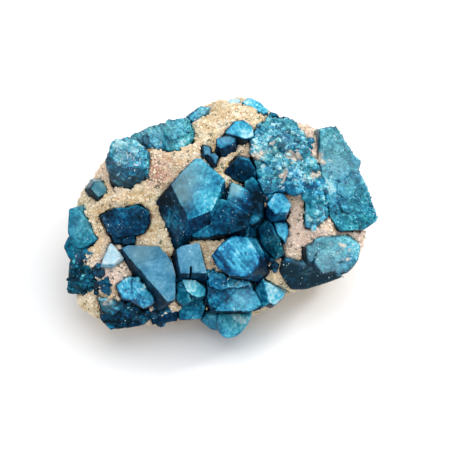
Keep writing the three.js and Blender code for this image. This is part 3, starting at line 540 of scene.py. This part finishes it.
# Colours from the darkest tone to the palest.
BLUES = [srgb(1, 10, 26), srgb(3, 52, 98), srgb(20, 122, 172), srgb(74, 194, 232),
         srgb(200, 242, 252)]
GREENS = [srgb(1, 16, 20), srgb(3, 66, 80), srgb(24, 130, 142), srgb(92, 192, 196),
          srgb(200, 240, 236)]
SLATES = [srgb(2, 20, 40), srgb(14, 62, 98), srgb(60, 128, 166), srgb(118, 178, 208),
          srgb(206, 234, 244)]
GREEN_SLATES = [srgb(2, 26, 34), srgb(14, 66, 82), srgb(62, 126, 142),
                srgb(126, 176, 186), srgb(206, 234, 238)]
FROSTS = [srgb(60, 120, 150), srgb(120, 180, 204), srgb(180, 222, 236),
          srgb(222, 242, 248), srgb(244, 250, 252)]
finishes = {
    "crystal_deep": crystal_finish("deep dioptase", BLUES, GREENS, 0.1, 0.25,
                                   srgb(40, 130, 190), 5000, gloss=0.02),
    "crystal_teal": crystal_finish("teal dioptase", BLUES, GREENS, 0.1, 0.2,
                                   srgb(50, 180, 215), 4500, gloss=0.03),
    "crystal_cyan": crystal_finish("clear dioptase", BLUES, GREENS, 0.06, 0.3,
                                   srgb(60, 195, 235), 2200, gloss=0.12),
    "crystal_slate": crystal_finish("dioptase cleavage", SLATES, GREEN_SLATES, 0.16,
                                    0.2, srgb(80, 185, 225), 2500, gloss=0.06,
                                    veils=0.06, sparse=0.93, mottled=0.05),
    "crystal_pale": crystal_finish("frosted dioptase", FROSTS, FROSTS, 0.2, 0.25,
                                   srgb(190, 235, 245), 500, gloss=0.5, sparse=0.95),
    "crystal_druse": crystal_finish("dioptase crust", BLUES, GREENS, 0.14, 0.15,
                                    srgb(90, 200, 220), 2500, gloss=0.3, sparse=0.6),
}
# The glossier finish of rounded crystals, which glint at many small places.
rounded = crystal_finish("rounded dioptase", BLUES, GREENS, 0.06, 0.2,
                         srgb(50, 180, 215), 3600, gloss=0.6, sparse=0.7)


def soften(obj, passes):
    """Rounds a mesh off."""
    smoothing = obj.modifiers.new("rounding", "SMOOTH")
    smoothing.factor = 0.5
    smoothing.iterations = passes
    settle(obj)


def crystal(node, slot, tone, green=0.4, shade=0.3, lights=(), steps=0.06, ribs=None,
            rough=0.03, chips=0.22, facets=(), passes=0, stains=(), milky_sheen=(),
            patchy=0.25, cleaves=(), finish=None):
    """One crystal or group of crystals. tone: 0 dark to 1 pale; green: 0 blue to 1
    green; shade: painted light and shade, how much darker its faces turned away
    from the light and lighter those turned to it are painted; lights: places u, v,
    reach, strength painted lighter as a glow or darker as shade; steps, rough,
    chips: mm of relief; ribs: direction u, v, w they follow each other in, spacing
    and height in mm; facets: sizes in mm and slopes of small crystals' ends all
    over it; passes: how much it is rounded off; stains: places where rock shows
    through it; milky_sheen: places where it is cloudy, painted as a pale sheen on
    the faces turned to the light; patchy: how much the small ends differ in tone;
    cleaves: steps where a layer has split off, as u, v, the line's turn, depth in
    mm and tone beyond it; finish: its material, if not the slot's."""
    obj, tree = fine_copy(node, node + "_crystal", CRYSTAL_STEP)
    if passes:
        soften(obj, passes)
    raw, smooth = read(obj.data), read(obj.data, "normal")
    points, faces, _ = (raw, smooth, None) if passes else nearest(raw, tree)
    edge = np.clip((1 - np.sum(smooth * faces, axis=1)) * 12, 0, 1)
    # Growth steps and fine roughness, in mm out of the faces.
    terrace = swellings(points, TERRACE, 41) + 0.5 * swellings(points, FINE_TERRACE, 42)
    lift = steps * (np.floor(terrace * TERRACE_LEVELS) / TERRACE_LEVELS
                    - terrace * 0.4)
    lift += CRYSTAL_SWELL + rough * swellings(points, GRIT, 43)
    facing, places = faces @ display, face_places(points)
    # Ribs that bend a little and fade in and out. Their crests are painted lighter and
    # their troughs darker, with painted highlight and shade streaks along them.
    rib_light_and_shade = 0.0
    if ribs:
        way, spacing, height = ribs
        way = np.array(Vector(way).normalized())
        along = places @ way
        drawn_out = 0.2 * places + 0.8 * along[:, None] * way
        along += spacing * (0.6 * swellings(points, RIB_BEND, 44)
                            + 0.25 * swellings(points, RIB_WAVER, 40))
        wave = np.abs((along / spacing) % 1 - 0.5) * 2
        wave *= np.clip(0.5 + 0.8 * swellings(points, RIB_FADE, 45), 0, 1)
        lift += height * wave
        rib_light_and_shade = height * (2 * (wave - 0.25) + 1.6 * swellings(drawn_out, PAINTED_STREAK, 52)
                           + 1.2 * swellings(drawn_out, FINE_PAINTED_STREAK, 53))
    worn = chips * np.clip(swellings(points, CHIP, 46) * 1.4 + 0.15, 0, 1)
    spots, hues = np.zeros(len(points)), 0.35 * swellings(points, HUE_REACH, 47)
    # Ends of small crystals and cleavage steps, on the faces turned to the light.
    grown = np.clip((facing @ LIT_SIDE - 0.3) / 0.2, 0, 1)
    for size, slope in facets:
        away, drawn, border = mosaic(points, size * MM, 51)
        lift += grown * slope * np.sum(away * np.roll(drawn, 1, axis=1), axis=1) / MM
        # The borders between the small ends are painted darker: painted shade in the
        # creases.
        spots += grown * slope * (patchy * drawn[:, 2] - 0.14 * border)
        hues += 0.8 * grown * slope * drawn[:, 0]
    for u, v, turn, depth, change in cleaves:
        across, up = places[:, 0] - u, places[:, 1] - v
        beyond = up * math.cos(turn) - across * math.sin(turn)
        beyond = np.clip((beyond + 0.1 * swellings(points, MM, 49)) / 0.12, 0, 1)
        lift -= depth * beyond * grown
        spots += change * beyond * grown
    moved = points + MM * (faces * (lift * (1 - 0.7 * edge))[:, None]
                           - smooth * (worn * edge)[:, None])
    moved[:, 2] = np.maximum(moved[:, 2], CRYSTAL_LOWEST)
    write(obj.data, moved)
    # The tone: painted light and shade by how a face is turned to the light, its relief
    # with the painted rib streaks, edges painted pale, a tone of its own for each
    # facing and painted glow and shade at given places.
    own = np.sin(facing @ FACE_MIX) * 0.5
    tones = tone + shade * (facing @ LIT_SIDE - 0.55) + spots + rib_light_and_shade
    # Edges painted paler in stretches: painted highlights, with some wear.
    tones += edge * np.clip(0.12 + 0.3 * swellings(points, EDGE_WEAR_AND_HIGHLIGHT, 50), 0, 0.4)
    # Painted glow and painted shade at the places given in lights.
    tones += 0.08 * own * (not passes) + soft_spots(places, lights)
    mark(obj.data, "tone", np.clip(tones, 0, 1))
    mark(obj.data, "green", np.clip(green + hues, 0, 1))
    shown = patches(places, stains)
    ragged = shown - 0.45 + 0.6 * swellings(points, RAGGED, 48)
    mark(obj.data, "stain", np.clip(3 * ragged, 0, 0.9) * np.clip(4 * shown, 0, 1))
    # Cloudiness with a painted pale sheen, kept only on the faces turned to the light.
    mark(obj.data, "milk_sheen", patches(places, milky_sheen) * grown)
    obj.data.materials.append(finish or finishes[slot])
    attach(obj, "root")
    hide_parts(node)


# The big block in the middle and the crystals grown into its right side.
crystal("center_block", "crystal_teal", 0.4, 0.4, 0.5, [
    (-2.2, 3.3, 2, 0.34), (3, 5, 1.2, 0.4), (-8.6, 4.6, 2.2, -0.3),
    (-3.6, -1.4, 1.8, 0.14), (-7.9, -0.8, 2, 0.34), (3, -1, 2.6, -0.2),
    (6.8, 3, 2.8, -0.4)], chips=0.2,
    milky_sheen=[(-6, 7.4, 3.2, 0.7), (-6.4, 3.6, 2, 0.5), (2.5, 5, 1.3, 1)],
    cleaves=[(-5.6, 6, 1.9, 0.08, -0.07), (-1.4, 6.4, 2.5, 0.1, 0.05)])

# Small crystals above it, most of them standing clear of the rock.
crystal("dark_wedge", "crystal_deep", 0.14, 0.2, 0.1, [(4.4, 9.6, 1.2, 0.3)])
crystal("upper_block", "crystal_cyan", 0.42, 0.15, 0.6, [
    (5.4, 14.2, 1.2, 0.3), (1.1, 13.4, 1.6, -0.12)],
    milky_sheen=[(1.1, 14, 1.2, 0.5)], cleaves=[(4.6, 15, 1.9, 0.1, 0.08)])
crystal("upper_small", "crystal_slate", 0.5, 0.2, 0.4)

# The thick ribbed stub and the crusted ledge along the top left edge.
crystal("upper_left_stub", "crystal_teal", 0.48, 0.55, 0.5, [
    (-16.6, 11.4, 2.6, 0.2), (-19.2, 9.4, 2.2, -0.16)], ribs=((0.3, 1, 0.2), 0.9, 0.16),
    rough=0.1, facets=[(1.3, 0.3), (0.5, 0.5)], passes=220, patchy=0.4, finish=rounded,
    milky_sheen=[(-16.6, 11.6, 2.4, 0.5)])
crystal("upper_left_ledge", "crystal_druse", 0.46, 0.75, 0.4, [
    (-6.2, 15, 1.6, 0.06), (-6.7, 13.3, 0.7, 0.4), (-10.3, 14.9, 1.2, 0.14)],
    ribs=((1, 0.8, 0), 0.8, 0.12), rough=0.06, facets=[(1.4, 0.25), (0.45, 0.4)],
    passes=120, finish=rounded, milky_sheen=[(-11, 15, 4, 0.3)])
crystal("top_sliver", "crystal_teal", 0.38, 0.5, 0.35, [(-3.4, 19.2, 1, 0.2)],
        ribs=((1, -1, 0), 0.7, 0.08), rough=0.06, facets=[(0.7, 0.3)], passes=30,
        finish=rounded, milky_sheen=[(-2.7, 19.4, 1.6, 0.5)])

# Crystals of the left side.
crystal("left_cube", "crystal_slate", 0.46, 0.9, 0.4)
crystal("left_dark", "crystal_deep", 0.22, 0.4, 0.4, [(-17, 0.6, 1.8, 0.2)],
        facets=[(2.2, 0.08)], cleaves=[(-12.6, 0.4, 1.2, 0.12, -0.06),
                                       (-14, 2, 0.15, 0.14, 0.16)])
crystal("left_edge", "crystal_teal", 0.52, 0.45, 0.3, [(-25, -2.4, 2, 0.1)], passes=4,
        facets=[(0.8, 0.15)], milky_sheen=[(-24.6, -1.6, 2.6, 0.35)])
crystal("pale_wedge", "crystal_pale", 0.62, 0.2, 0.4, facets=[(0.8, 0.15)])

# Two cleaved plates with broad, even flats.
crystal("large_plate", "crystal_slate", 0.48, 0.3, 0.5, steps=0.02, rough=0.006,
        chips=0.08, milky_sheen=[(-14, -5.8, 2.6, 0.6)],
        cleaves=[(-12, -7.5, 0.25, 0.2, -0.1)])
crystal("square_plate", "crystal_slate", 0.52, 0.1, 0.5, steps=0.025, rough=0.006,
        chips=0.06, cleaves=[(-3.6, -9, -1.4, 0.14, -0.03)])

# Crystals along the lower front and beside the hollow at the right.
crystal("lower_center", "crystal_cyan", 0.5, 0.0, 0.5, [
    (3.6, -5.4, 2, 0.08), (8, -8.6, 2, -0.5), (0.4, -7.4, 1.6, -0.12)],
    ribs=((1, 0.8, 0), 0.7, 0.1),
    cleaves=[(5, -5, -0.7, 0.14, 0.06), (3, -7, -0.8, 0.1, -0.06)])
crystal("lower_cluster", "crystal_teal", 0.48, 0.25, 0.5, [
    (3.4, -10.8, 1.1, 0.2), (3.5, -14.4, 2, 0.08), (0.6, -14.4, 1.4, -0.12)],
    ribs=((0.7, 1, 0), 0.8, 0.06), facets=[(1.3, 0.12)], milky_sheen=[(4, -14.2, 2.4, 0.4)],
    cleaves=[(1.8, -12.2, 0.5, 0.14, -0.1), (5.6, -12, -0.8, 0.12, 0.12)])
crystal("lower_wedge", "crystal_teal", 0.56, 0.5, 0.4, [(-5, -11.6, 0.9, 0.12)],
        cleaves=[(-4.2, -13, 0.9, 0.12, 0.08)])
crystal("bottom_knob", "crystal_teal", 0.58, 0.5, 0.3, [
    (1.6, -20.4, 1.4, 0.14), (3.8, -17.6, 1.8, 0.26)], passes=60,
    facets=[(1.2, 0.2)], finish=rounded)
crystal("lower_right_wedge", "crystal_cyan", 0.6, 0.25, 0.6, [(9.6, -13, 1.4, 0.1)],
        cleaves=[(9, -13.4, 1.0, 0.1, 0.1)])
crystal("dark_step", "crystal_deep", 0.27, 0.6, 0.15, facets=[(1.2, 0.2)])
crystal("right_small", "crystal_cyan", 0.58, 0.15, 0.4)
crystal("right_blue", "crystal_cyan", 0.6, 0.0, 0.4, cleaves=[(9, 1.6, 1.1, 0.12, 0.1)])
crystal("lower_left_block", "crystal_cyan", 0.5, 0.1, 0.5, [(-13.4, -12, 1.4, 0.24)],
        ribs=((1, 0.8, 0), 0.7, 0.1), facets=[(1.2, 0.3)], passes=12, finish=rounded,
        cleaves=[(-15.6, -13, 1.2, 0.16, 0.1)])
crystal("lower_left_ledge", "crystal_teal", 0.24, 0.55, 0.3, [(-20, -13.6, 2, 0.3)],
        ribs=((0.3, 1, 0), 0.8, 0.1), rough=0.08, facets=[(1.4, 0.3), (0.5, 0.4)],
        passes=6, patchy=0.5,
        stains=[(-21, -13.6, 1.8, 0.8)], milky_sheen=[(-20, -13.8, 2.4, 0.5)])
crystal("bottom_dark", "crystal_deep", 0.22, 0.2, 0.2, passes=6)
crystal("corner_druse", "crystal_deep", 0.32, 0.5, 0.3, rough=0.06,
        facets=[(1.2, 0.3), (0.5, 0.4)], passes=12, patchy=0.4)

# Crusted crystals of the right side.
crystal("right_block", "crystal_druse", 0.44, 0.65, 0.7, [
    (24, -5.6, 1.2, 0.2), (12.6, -10.4, 3.6, -0.5), (17.4, -12, 2.8, -0.36),
    (21.6, -11.4, 2.4, -0.2)],
    rough=0.04, facets=[(0.4, 0.3)], passes=70,
    stains=[(21.6, -5.2, 1.5, 0.7), (22.8, -7.4, 1, 0.5), (18, -8.6, 1, 0.3)],
    milky_sheen=[(19, -6.6, 4.8, 0.6)])
crystal("right_slab", "crystal_druse", 0.5, 0.7, 0.3, [
    (19.1, 5.5, 1.4, 0.6), (24.6, 0, 3.4, -0.03)], rough=0.04,
    facets=[(1.6, 0.1), (0.4, 0.3)], milky_sheen=[(20, 10, 6, 0.55)],
    stains=[(17.6, 9.6, 2, 0.5), (19.4, 14, 1.4, 0.3), (17, 5, 1.2, 0.4)])
crystal("upper_right_druse", "crystal_druse", 0.55, 0.5, 0.35, [
    (14.5, 7.5, 1.8, 0.22), (4.8, 6.4, 1.4, -0.3), (7, 13.6, 2, 0.08),
    (7.6, 7.6, 2.2, 0.2), (15, 3.6, 2, 0.14), (16.2, 0.5, 2, 0.34)], rough=0.06,
    facets=[(1.7, 0.3), (0.6, 0.5)], patchy=0.35, passes=10,
    stains=[(6.4, 10.8, 1.4, 1), (12.8, 10.8, 1.3, 1), (16.4, 7.6, 1.1, 0.8),
            (11, 7.4, 1.1, 0.8), (9.4, 12.6, 0.9, 0.8)],
    milky_sheen=[(10.5, 11, 7, 0.25), (16.2, 0.5, 2, 0.4)])

# Crystals along the top edge, on the back and low on the sides.
crystal("top_pale", "crystal_pale", 0.6, 0.1, 0.2)
crystal("top_bright", "crystal_cyan", 0.56, 0.15, 0.5, [(4.8, 20.6, 1, 0.3)],
        facets=[(0.8, 0.2)], passes=20, finish=rounded)
crystal("top_dark", "crystal_deep", 0.3, 0.4, 0.3, passes=4)
crystal("top_corner", "crystal_teal", 0.4, 0.4, 0.3, passes=4)
for node, slot, tone in [("back_upper_group", "crystal_teal", 0.42),
                         ("back_crest_pair", "crystal_teal", 0.46),
                         ("back_left_group", "crystal_cyan", 0.5),
                         ("back_right_group", "crystal_deep", 0.22),
                         ("back_low_right", "crystal_cyan", 0.48),
                         ("right_low_pair", "crystal_teal", 0.42),
                         ("left_low_pair", "crystal_deep", 0.2)]:
    crystal(node, slot, tone, shade=0.15)


# ---------------------------------------------------------------------------
# Crusts. Where the dioptase grew fast it made crowds of small crystals instead
# of large ones: six-sided prisms, each ended by three slanting faces, that coat
# the rough crystals and spill over onto the rock between them.
END_SLOPE = math.radians(40)  # between the end faces and straight across
SUNK = 0.45  # share of a crystal's width that is rooted in what it grows on
SEEDS_FROM = 2.5 * MM  # height above the sawn base where seed crystals begin
SEED_GAP = 0.1 * MM  # none is rooted nearer than this to a large crystal


def prism_corners():
    """Six long edges, and a point that three of its sides slant up to."""
    apothem, edge = 0.5, 0.5 / math.cos(math.radians(30))
    height = 1 - SUNK
    corners = [(0, 0, height)]
    for i in range(6):
        corner = math.radians(60 * i + 30)
        x, y = edge * math.cos(corner), edge * math.sin(corner)
        corners += [(x, y, -SUNK), (x, y, height - apothem * math.tan(END_SLOPE))]
        if i % 2:
            side = math.radians(60 * i)
            corners.append((apothem * math.cos(side), apothem * math.sin(side),
                            height - apothem * math.tan(END_SLOPE) / 2))
    return corners


prism = template("prism", prism_corners())

rock_tree = search_tree([rock.data])


def bare(obj):
    """1 where a crystal's surface is outside the rock, and 0 elsewhere."""
    points = read(obj.data)
    spots, faces, _ = nearest(points, rock_tree)
    return (np.sum((points - spots) * faces, axis=1) > 0).astype(float)


def toward(obj, least):
    """From 0 to 1 as a surface turns, from least on, to face up and to the right."""
    facing = read(obj.data, "normal") @ display @ LIT_SIDE
    return np.clip((facing - least) / 0.25, 0, 1)


# Lengths in mm. few: how rare the large ones are; least: as in toward().
crust = finishes["crystal_druse"]
for node, apart, smallest, largest, few, lean, tones, least in [
        ("upper_right_druse", 0.5, 0.2, 0.85, 2.6, 1.5, 0.55, 0.1),
        ("upper_left_ledge", 0.75, 0.15, 0.4, 2.6, 1.4, 0.5, 0.2),
        ("right_block", 0.5, 0.15, 0.45, 2.6, 1.4, 0.5, 0.5),
        ("right_slab", 0.5, 0.15, 0.5, 2.6, 1.4, 0.45, 0.2),
        ("corner_druse", 0.55, 0.2, 0.8, 2.4, 1.4, 0.5, -0.3)]:
    obj = bpy.data.objects[node + "_crystal"]
    scatter(obj, bare(obj) * toward(obj, least), node + "_crust", prism, crust,
            "crystal_druse", Apart=apart * MM, Smallest=smallest * MM,
            Largest=largest * MM, Lean=lean, Seed=7, Stretch=1.9,
            **{"Few large": few, "Tone spread": tones})

# Thin pale blades that lie between them as painted glints, crowded at u, v, reach,
# how crowded.
GLINT_BLADE = 0.13  # half of a blade's width, for a length of 1
GLINT_CROWDS = [(-16.6, 10.6, 2.4, 1), (14.5, 7.6, 2.2, 1), (11.6, 12, 2, 0.6),
          (7.6, 13, 2, 0.6), (10, 6, 1.6, 0.6), (1.8, -11.6, 1.4, 1),
          (-15, -12.2, 1.3, 1), (-5.6, -11.4, 1, 0.8), (-12, 14.4, 2.4, 0.6),
          (24, -5.6, 1.4, 1), (19, 5.4, 1.2, 0.8), (-24.6, -2, 1.6, 0.6),
          (-3.4, 18.8, 1.4, 0.8), (-15, -16, 2, 0.6), (1.6, -20.4, 1.4, 0.6),
          (9.4, -12.8, 1, 0.8), (-13, 0.8, 0.9, 1), (-20.2, -0.4, 0.8, 0.9),
          (-17.4, -2, 0.7, 1), (-7.6, -1.6, 1.6, 0.5), (4, 4.6, 0.9, 0.8)]
blade = template("blade", [(0.5, 0, 0), (-0.5, 0, 0), (0, GLINT_BLADE, 0), (0, -GLINT_BLADE, 0),
                           (0, 0, GLINT_BLADE), (0, 0, -GLINT_BLADE)])
for node, apart, largest, least in [
        ("upper_right_druse", 0.45, 1.5, 0.1), ("upper_left_ledge", 0.5, 1.0, 0.1),
        ("upper_left_stub", 0.36, 1.5, 0.1), ("right_block", 0.55, 0.9, 0.5),
        ("right_slab", 0.6, 0.7, 0.2), ("corner_druse", 0.8, 0.8, -0.3),
        ("left_edge", 0.8, 0.7, 0.0), ("lower_left_block", 0.5, 0.9, 0.2),
        ("top_sliver", 0.6, 0.8, 0.0), ("lower_left_ledge", 0.7, 0.8, 0.1),
        ("lower_cluster", 0.5, 1.1, 0.2), ("bottom_knob", 0.8, 0.6, 0.1),
        ("lower_wedge", 0.5, 0.9, 0.1), ("lower_right_wedge", 0.6, 0.8, 0.1),
        ("left_dark", 0.5, 0.7, 0.0), ("center_block", 0.7, 0.5, -0.2)]:
    obj = bpy.data.objects[node + "_crystal"]
    glint_crowded = read(obj.data)
    glint_crowded = 0.04 + 0.3 * swellings(glint_crowded, 2 * MM, 61) + patches(
        face_places(glint_crowded), GLINT_CROWDS)
    scatter(obj, bare(obj) * toward(obj, least) * np.clip(glint_crowded, 0, 1),
            node + "_blades", blade, finishes["crystal_pale"], "crystal_pale",
            tone=0.65, Apart=apart * MM, Smallest=0.25 * MM, Largest=largest * MM,
            Lean=0.35, Seed=17, Stretch=1.2, **{"Few large": 2.0, "Tone spread": 0.8})

# Seed crystals on the rock: u, v, reach, how crowded. The dark ones crowd between
# the large crystals and along the lower left rim, and their dark tone also stands in
# for the shade that falls there.
PALE_SEEDS = [(17.8, 6.4, 2.2, 1), (17.8, 3.4, 1.6, 1), (17.8, 9, 1.4, 0.8),
              (8.6, 16, 1.6, 0.9), (15.4, 12.6, 1.4, 0.9)]
DARK_SEEDS_IN_SHADE = [(6, 8.6, 2.2, 1), (7.6, 4.6, 2.4, 1), (7.8, 0.6, 2, 1),
              (-25.4, -8, 1.8, 1), (-23.4, -6.6, 1.2, 0.8), (-17.4, -4, 1.4, 0.7),
              (-22.6, -12, 1.6, 0.9), (-20.2, -12, 1.2, 1), (-16.6, -15.6, 1.6, 0.8),
              (4.6, 6.6, 1.2, 1), (-21.6, -9.6, 1.4, 0.8), (-14.6, -16.8, 1.2, 0.8),
              (-4.4, -15, 2, 1), (6.6, -12.4, 1.6, 0.8), (-2, -10, 1.6, 0.9),
              (-0.6, -3.6, 1.2, 0.6), (9, -8, 2, 0.8), (-8, -12, 1.6, 1),
              (-10.4, -17.4, 2.4, 1), (0.4, -16.6, 2, 1), (5.4, 12.4, 1, 0.8)]
mark(rock.data, "green", np.full(len(rock_points), 0.4))
open_rock = (gap > SEED_GAP) * (rock_points[:, 2] > SEEDS_FROM) * (turned_back < 0.6)
for name, table, tone in [("pale_seed_crystals", PALE_SEEDS, 0.52),
                          ("dark_seed_crystals", DARK_SEEDS_IN_SHADE, 0.26)]:
    on_rock = np.clip(3 * patches(rock_places, table) - 1.2, 0, 1) * open_rock
    scatter(rock, on_rock, name, prism, crust, "crystal_druse", tone=tone, Seed=9,
            Apart=0.5 * MM, Smallest=0.4 * MM, Largest=1.5 * MM, Lean=1.2, Stretch=1.9,
            **{"Few large": 1.4, "Tone spread": 0.5})
scatter(rock, room * 0.5, "rock_specks", prism, finishes["crystal_deep"],
        "crystal_deep", tone=0.35, Seed=13, Apart=0.7 * MM, Smallest=0.08 * MM,
        Largest=0.34 * MM, Lean=1.5, Stretch=1.2,
        **{"Few large": 2.5, "Tone spread": 0.9, "Most per m2": 3e5})
for piece in (rhomb, prism, blade):
    bpy.data.objects.remove(piece)

# ---------------------------------------------------------------------------
# The setting: a plain pale floor, soft light from above and the right, and a
# camera that looks down on the display face from far off.
FLOOR_REACH = 3.0  # metres from the middle to each side
LAMP_TARGET = Vector((0, 0, 10 * MM))
SKY, SKY_STRENGTH = (0.95, 0.97, 1, 1), 0.85


def pale_floor():
    mesh = bpy.data.meshes.new("floor")
    reach = FLOOR_REACH
    mesh.from_pydata([(-reach, -reach, 0), (reach, -reach, 0), (reach, reach, 0),
                      (-reach, reach, 0)], [], [(0, 1, 2, 3)])
    material, tree = new_material("pale floor")
    shader = add(tree, "ShaderNodeBsdfPrincipled", {
        "Base Color": (0.9, 0.9, 0.9, 1), "Roughness": 0.9, "Specular IOR Level": 0.1})
    add(tree, "ShaderNodeOutputMaterial", {"Surface": shader.outputs[0]})
    mesh.materials.append(material)
    new_object("floor", mesh)


pale_floor()


def softbox(name, place, size, radiance):
    """An even lamp, size metres across and up, that looks at the lump."""
    data = bpy.data.lights.new(name, "AREA")
    data.shape = "RECTANGLE"
    data.size, data.size_y = size
    data.energy = radiance * math.pi * size[0] * size[1]
    lamp = new_object(name, data)
    lamp.location = place
    sight = LAMP_TARGET - Vector(place)
    lamp.rotation_euler = sight.to_track_quat("-Z", "Y").to_euler()


softbox("overhead light", (0.05, -0.02, 0.55), (0.5, 0.42), 2.3)
softbox("right light", (0.36, 0.14, 0.36), (0.1, 0.12), 26.0)
softbox("left fill", (-0.55, -0.25, 0.35), (0.3, 0.3), 0.8)
world = bpy.data.worlds.new("studio")
world.use_nodes = True
background = world.node_tree.nodes["Background"].inputs
background["Color"].default_value = SKY
background["Strength"].default_value = SKY_STRENGTH
scene.world = world
scene.view_settings.view_transform = "Standard"

ELEVATION = math.radians(55)
LENS = 200.0  # focal length in mm
FRAME_WIDTH = 81 * MM  # what the frame spans at the lump
sight = Vector((0.85 * MM, -2.07 * MM, 12.28 * MM))
camera_data = bpy.data.cameras.new("camera")
camera_data.lens = LENS
camera_data.clip_start = 0.01
camera = new_object("camera", camera_data)
distance = FRAME_WIDTH * LENS / camera_data.sensor_width
camera.location = sight + distance * Vector((0, -math.cos(ELEVATION),
                                             math.sin(ELEVATION)))
camera.rotation_euler = Euler((math.pi / 2 - ELEVATION, 0, 0))
scene.camera = camera
